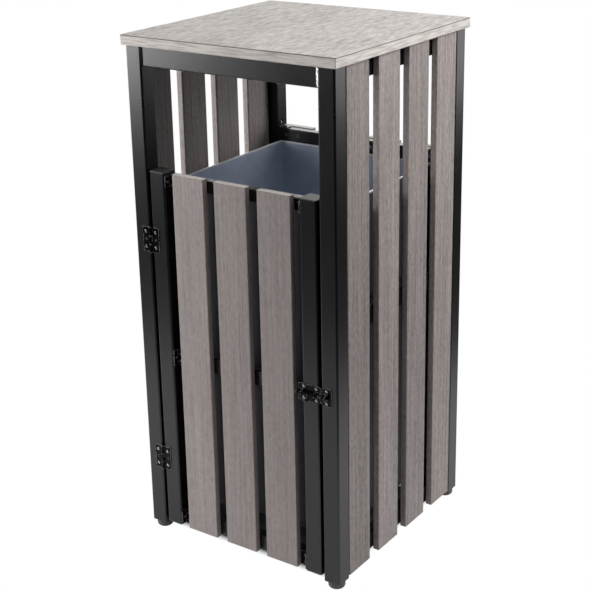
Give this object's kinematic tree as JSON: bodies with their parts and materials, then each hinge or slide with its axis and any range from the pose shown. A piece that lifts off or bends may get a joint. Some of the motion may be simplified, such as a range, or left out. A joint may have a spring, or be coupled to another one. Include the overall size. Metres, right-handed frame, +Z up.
{
  "type": "litter bin",
  "caption": "Square outdoor litter bin on levelling feet: slatted walls in a steel tube frame, hinged front door with a barrel bolt, open mouths under a flat top board, lift-out liner.",
  "frame": {"origin": "on the floor, under the centre of the plan", "axes": "+Z up, front door faces -Y, +X to the right as seen from the front"},
  "size_m": [0.401, 0.4083, 0.8665],
  "materials": {
    "slat_board": "grey-brown wood-look board, fine lengthwise grain, matt",
    "top_board": "light grey wood-look board, fine grain, satin",
    "frame_steel": "satin black powder coat on steel tube",
    "liner_sheet": "galvanised sheet, satin",
    "hardware_steel": "black coated steel, satin",
    "screw_steel": "bright zinc plate",
    "black_plastic": "moulded, matt",
    "foot_plastic": "dark grey moulded, matt"
  },
  "bodies": {
    "cabinet": {"top_board": "top_board", "front_left_post": "frame_steel", "front_right_post": "frame_steel", "rear_left_post": "frame_steel", "rear_right_post": "frame_steel", "front_top_rail": "frame_steel", "rear_top_rail": "frame_steel", "left_top_rail": "frame_steel", "right_top_rail": "frame_steel", "left_mid_rail": "frame_steel", "right_mid_rail": "frame_steel", "left_bottom_rail": "frame_steel", "right_bottom_rail": "frame_steel", "rear_upper_rail": "frame_steel", "rear_mid_rail": "frame_steel", "rear_bottom_rail": "frame_steel", "rail_welds": "frame_steel", "left_slat_1": "slat_board", "left_slat_2": "slat_board", "left_slat_3": "slat_board", "left_slat_4": "slat_board", "right_slat_1": "slat_board", "right_slat_2": "slat_board", "right_slat_3": "slat_board", "right_slat_4": "slat_board", "rear_slat_1": "slat_board", "rear_slat_2": "slat_board", "rear_slat_3": "slat_board", "rear_slat_4": "slat_board", "post_inserts": "black_plastic", "shelf_bars": "frame_steel", "rear_rail_brackets": "hardware_steel", "bracket_screws": "screw_steel", "slat_screws": "screw_steel", "board_screws": "screw_steel", "hinge_frame_leaves": "hardware_steel", "hinge_pins": "hardware_steel", "bolt_keeper": "hardware_steel", "cabinet_hardware_screws": "screw_steel"},
    "front_left_foot": {"front_left_foot": "foot_plastic"},
    "front_right_foot": {"front_right_foot": "foot_plastic"},
    "rear_left_foot": {"rear_left_foot": "foot_plastic"},
    "rear_right_foot": {"rear_right_foot": "foot_plastic"},
    "door": {"door_left_stile": "frame_steel", "door_right_stile": "frame_steel", "door_top_rail": "frame_steel", "door_mid_rail": "frame_steel", "door_bottom_rail": "frame_steel", "door_slat_1": "slat_board", "door_slat_2": "slat_board", "door_slat_3": "slat_board", "door_stile_caps": "black_plastic", "door_brackets": "hardware_steel", "door_slat_screws": "screw_steel", "door_bracket_screws": "hardware_steel", "hinge_door_leaves": "hardware_steel", "bolt_guide": "hardware_steel", "door_hardware_screws": "screw_steel"},
    "bolt": {"bolt": "hardware_steel"},
    "liner": {"liner": "liner_sheet"}
  },
  "joints": [
    {"name": "door_hinge", "type": "hinge", "parent": "cabinet", "child": "door", "pos_m": [-0.1625, -0.1975, 0.33], "axis": [0, 0, -1], "range_deg": [0, 170]},
    {"name": "bolt_slide", "type": "slide", "parent": "door", "child": "bolt", "axis": [1, 0, 0], "range_m": [-0.0095, 0.0085]},
    {"name": "liner_lift", "type": "slide", "parent": "cabinet", "child": "liner", "axis": [0, 0, 1], "range_m": [0, 0.18]},
    {"name": "front_left_foot_level", "type": "slide", "parent": "cabinet", "child": "front_left_foot", "axis": [0, 0, -1], "range_m": [0, 0.01]},
    {"name": "front_right_foot_level", "type": "slide", "parent": "cabinet", "child": "front_right_foot", "axis": [0, 0, -1], "range_m": [0, 0.01]},
    {"name": "rear_left_foot_level", "type": "slide", "parent": "cabinet", "child": "rear_left_foot", "axis": [0, 0, -1], "range_m": [0, 0.01]},
    {"name": "rear_right_foot_level", "type": "slide", "parent": "cabinet", "child": "rear_right_foot", "axis": [0, 0, -1], "range_m": [0, 0.01]}
  ]
}
